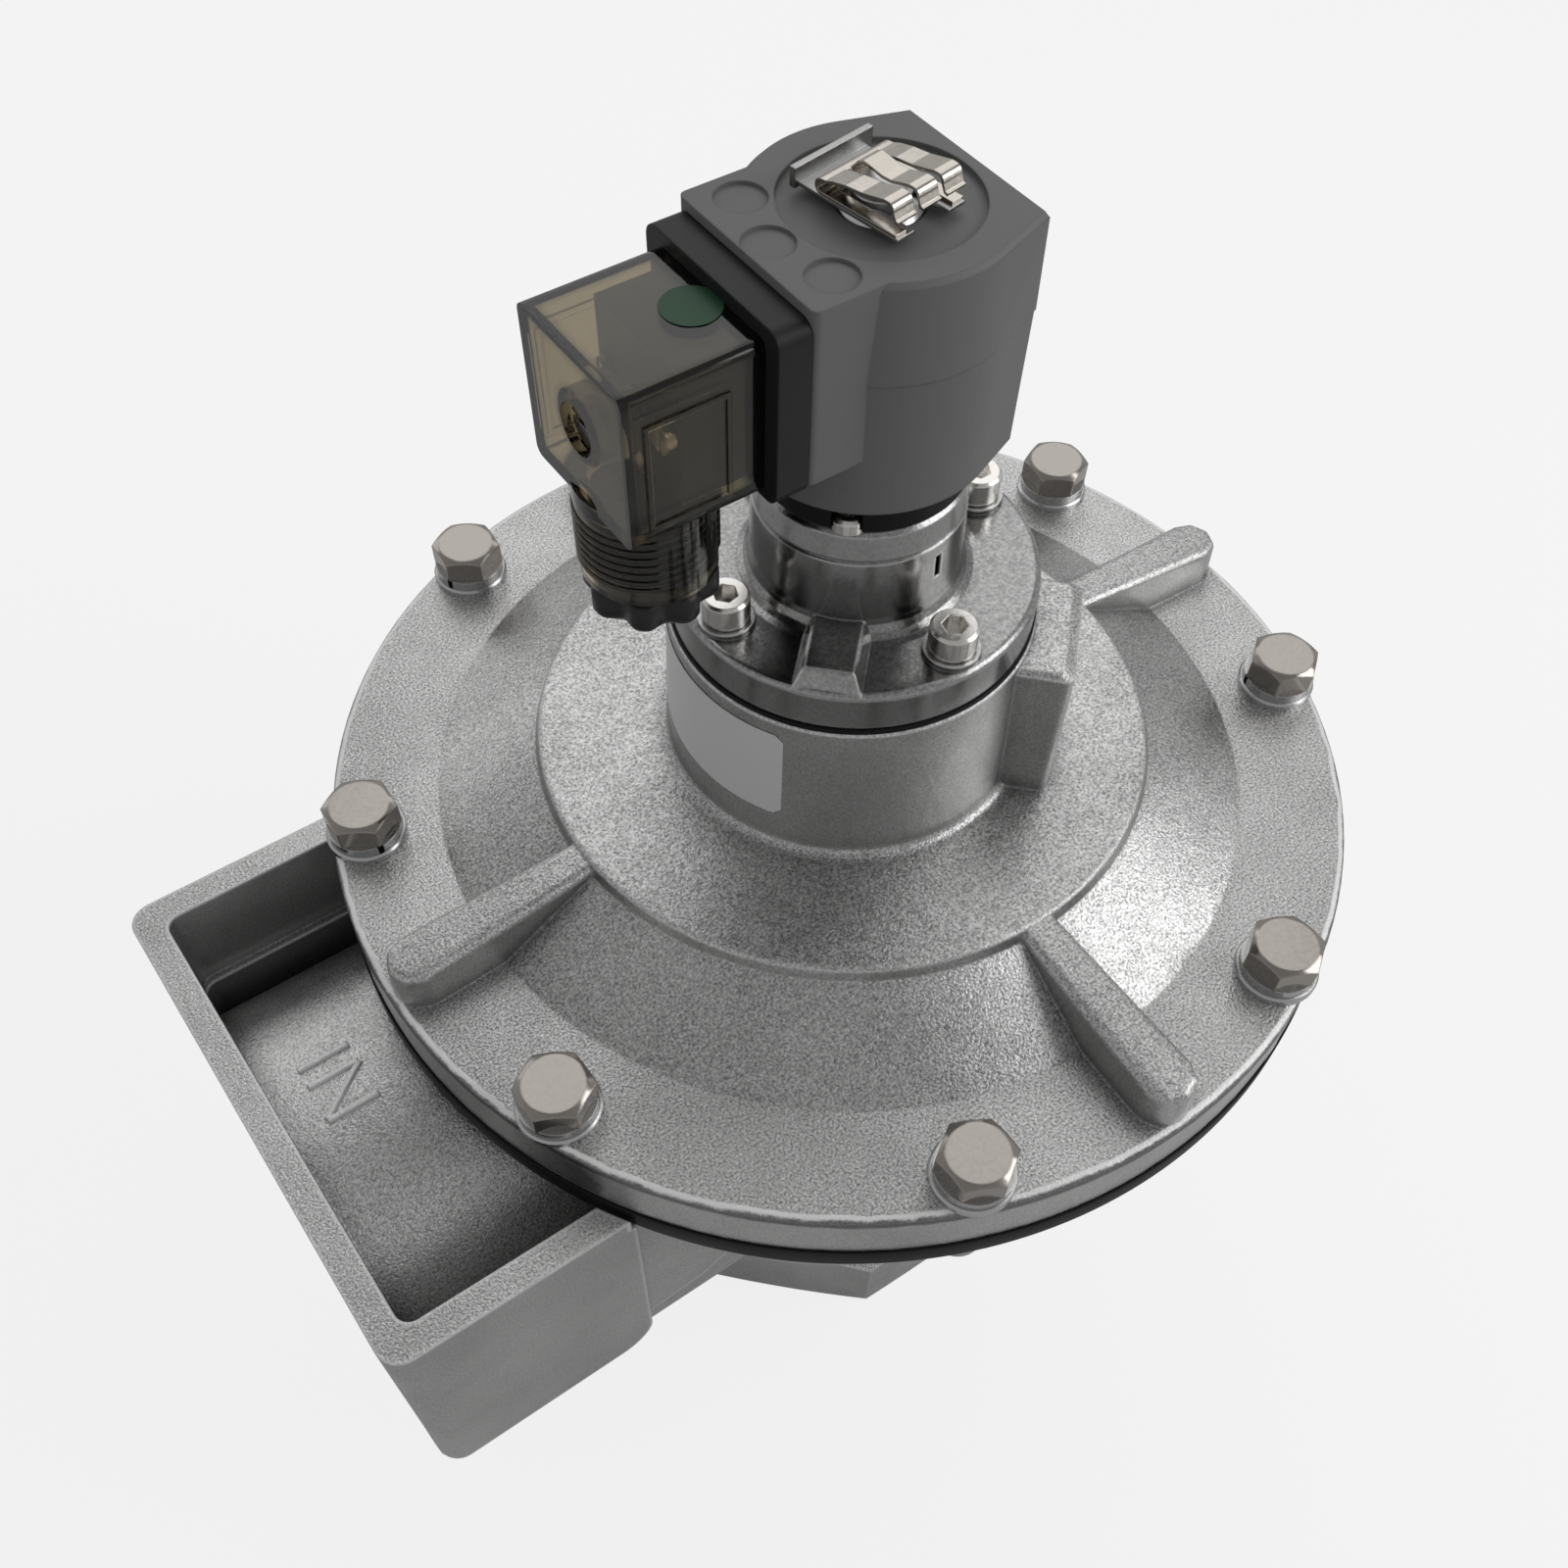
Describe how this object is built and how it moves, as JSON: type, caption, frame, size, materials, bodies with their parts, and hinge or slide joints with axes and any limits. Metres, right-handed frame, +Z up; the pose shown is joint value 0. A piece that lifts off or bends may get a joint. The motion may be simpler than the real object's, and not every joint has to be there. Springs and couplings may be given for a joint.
{
  "type": "pulse valve",
  "caption": "Right-angle diaphragm pulse valve with flanged ribbed cover, pilot boss, and a solenoid with spring clip and transparent cable plug.",
  "frame": {"origin": "on the valve axis, at the centre of the outlet port's mouth, which is the lowest face", "axes": "+Z up the valve axis from the outlet to the coil, -X out of the inlet port, +Y to the inlet's right-hand side seen from the coil looking out along -X"},
  "size_m": [0.2415, 0.208, 0.2864],
  "materials": {
    "cast_body": "cast and shot-blasted",
    "cast_cover": "cast and shot-blasted",
    "cap_metal": "die-cast, bright",
    "diaphragm_rubber": "moulded, matte",
    "seat_rubber": "moulded, matte",
    "ring_rubber": "moulded, satin",
    "plate_steel": "pressed",
    "spring_steel": "drawn wire",
    "bolt_steel": "stainless, forged head",
    "screw_steel": "stainless",
    "washer_steel": "stainless, stamped",
    "tube_steel": "turned",
    "yoke_steel": "pressed",
    "clip_steel": "bright spring sheet",
    "winding_copper": "enamelled wire",
    "contact_brass": "stamped",
    "contact_metal": "tinned",
    "coil_plastic": "moulded, fine grain",
    "block_plastic": "moulded",
    "nut_plastic": "moulded, satin",
    "plug_clear": "smoky transparent"
  },
  "bodies": {
    "valve": {"valve_body": "cast_body", "main_cover": "cast_cover", "main_diaphragm": "diaphragm_rubber", "main_spring": "spring_steel", "cover_bolts": "bolt_steel", "cover_spring_washers": "washer_steel", "cover_washers": "washer_steel", "pilot_diaphragm": "diaphragm_rubber", "pilot_spring": "spring_steel", "pilot_cap": "cap_metal", "pilot_cap_screws": "screw_steel", "locating_screw": "screw_steel", "guide_tube": "tube_steel", "guide_tube_ring": "ring_rubber", "plunger_spring": "spring_steel", "coil_seal": "ring_rubber"},
    "main_stage": {"diaphragm_plate": "plate_steel", "seat_disc": "seat_rubber", "seat_retainer": "plate_steel", "diaphragm_nut": "plate_steel"},
    "pilot_stage": {"pilot_disc": "plate_steel"},
    "armature": {"plunger": "tube_steel", "plunger_seal": "seat_rubber"},
    "coil": {"coil_housing": "coil_plastic", "coil_winding": "winding_copper", "coil_yoke": "yoke_steel", "coil_terminals": "contact_metal"},
    "clip": {"retaining_plate": "clip_steel", "spring_clip": "clip_steel"},
    "plug": {"plug_gasket": "ring_rubber", "plug_housing": "plug_clear", "terminal_block": "block_plastic", "terminal_contacts": "contact_brass", "terminal_screws": "screw_steel", "plug_screw_ring": "ring_rubber", "gland_washer": "washer_steel", "gland_grommet": "ring_rubber"},
    "centre_screw": {"plug_screw": "screw_steel"},
    "gland": {"gland_nut": "nut_plastic"}
  },
  "joints": [
    {"name": "main_lift", "type": "slide", "parent": "valve", "child": "main_stage", "axis": [0, 0, 1], "range_m": [0, 0.012], "stiffness_N_per_m": 600, "springref_m": -0.012, "deforming": ["main_diaphragm", "main_spring"]},
    {"name": "pilot_lift", "type": "slide", "parent": "valve", "child": "pilot_stage", "axis": [0, 0, 1], "range_m": [0, 0.004], "stiffness_N_per_m": 400, "springref_m": -0.003, "deforming": ["pilot_diaphragm", "pilot_spring"]},
    {"name": "plunger_lift", "type": "slide", "parent": "valve", "child": "armature", "axis": [0, 0, 1], "range_m": [0, 0.0018], "stiffness_N_per_m": 250, "springref_m": -0.004, "deforming": ["plunger_spring"]},
    {"name": "coil_turn", "type": "hinge", "parent": "valve", "child": "coil", "pos_m": [0, 0, 0.2425], "axis": [0, 0, 1], "continuous": true},
    {"name": "clip_slide", "type": "slide", "parent": "valve", "child": "clip", "axis": [-0.165, 0.9863, 0], "range_m": [0, 0.016]},
    {"name": "plug_pull", "type": "slide", "parent": "coil", "child": "plug", "axis": [-1, 0, 0], "range_m": [0, 0.016]},
    {"name": "centre_screw_turn", "type": "hinge", "parent": "plug", "child": "centre_screw", "pos_m": [-0.045, 0, 0.26467], "axis": [1, 0, 0], "continuous": true},
    {"name": "gland_nut_turn", "type": "hinge", "parent": "plug", "child": "gland", "pos_m": [-0.0416, 0, 0.2355], "axis": [0, 0, 1], "continuous": true}
  ]
}
